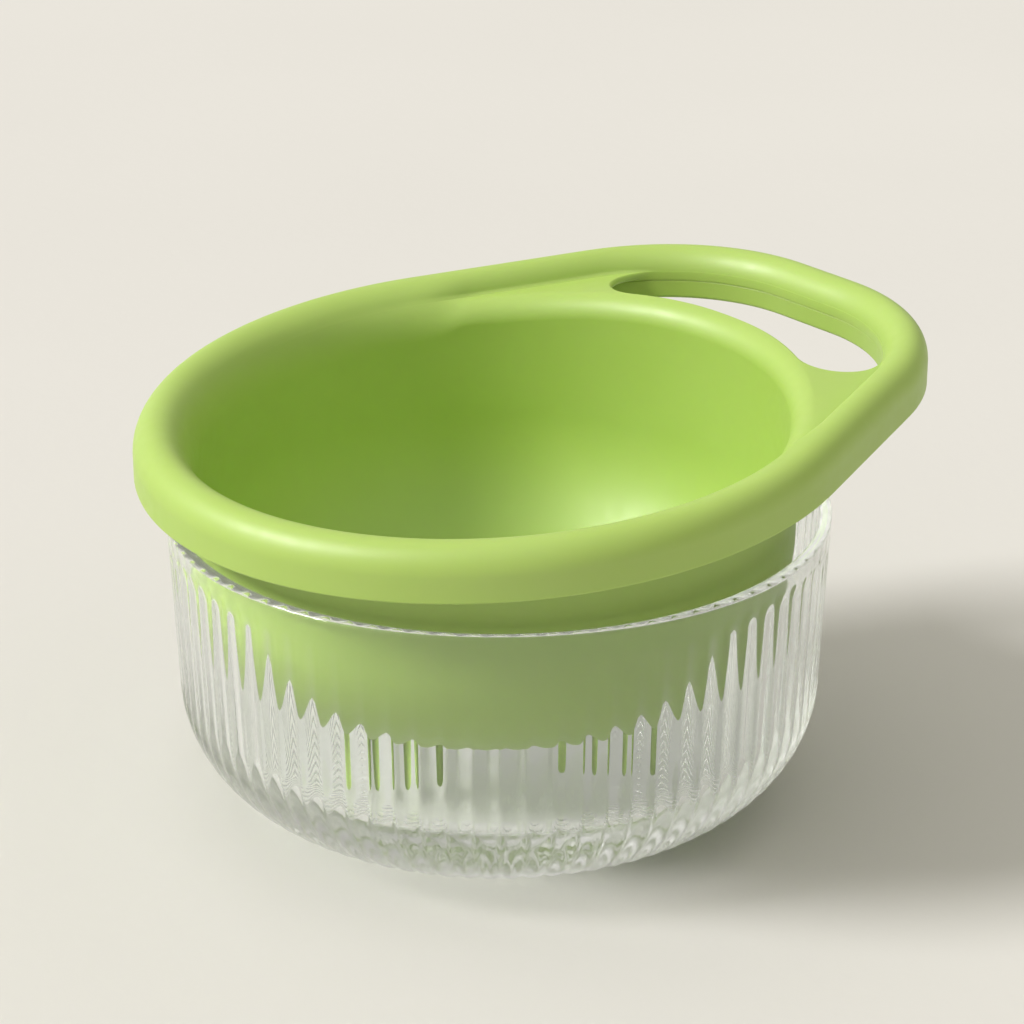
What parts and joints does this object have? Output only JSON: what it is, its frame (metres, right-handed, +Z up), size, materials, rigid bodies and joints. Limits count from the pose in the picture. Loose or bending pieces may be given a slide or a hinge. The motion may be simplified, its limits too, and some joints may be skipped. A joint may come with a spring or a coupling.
{
  "type": "draining basket with bowl",
  "caption": "Green plastic draining basket with a thick slanted rim and loop handle, standing loose in a clear fluted glass bowl.",
  "frame": {"origin": "centre of the flat foot of the glass bowl", "axes": "+Z up, +X towards the basket's handle, +Y to the left of the handle seen from above with the handle pointing away"},
  "size_m": [0.2041, 0.1784, 0.1134],
  "materials": {
    "clear_glass": "clear pressed glass, polished",
    "green_plastic": "satin apple green polypropylene"
  },
  "bodies": {
    "bowl": {"glass_bowl": "clear_glass"},
    "basket": {"basket_shell": "green_plastic", "rim_under_cover": "green_plastic"}
  },
  "joints": [
    {"name": "basket_lift", "type": "slide", "parent": "bowl", "child": "basket", "axis": [0, 0, 1], "range_m": [0, 0.09]}
  ]
}
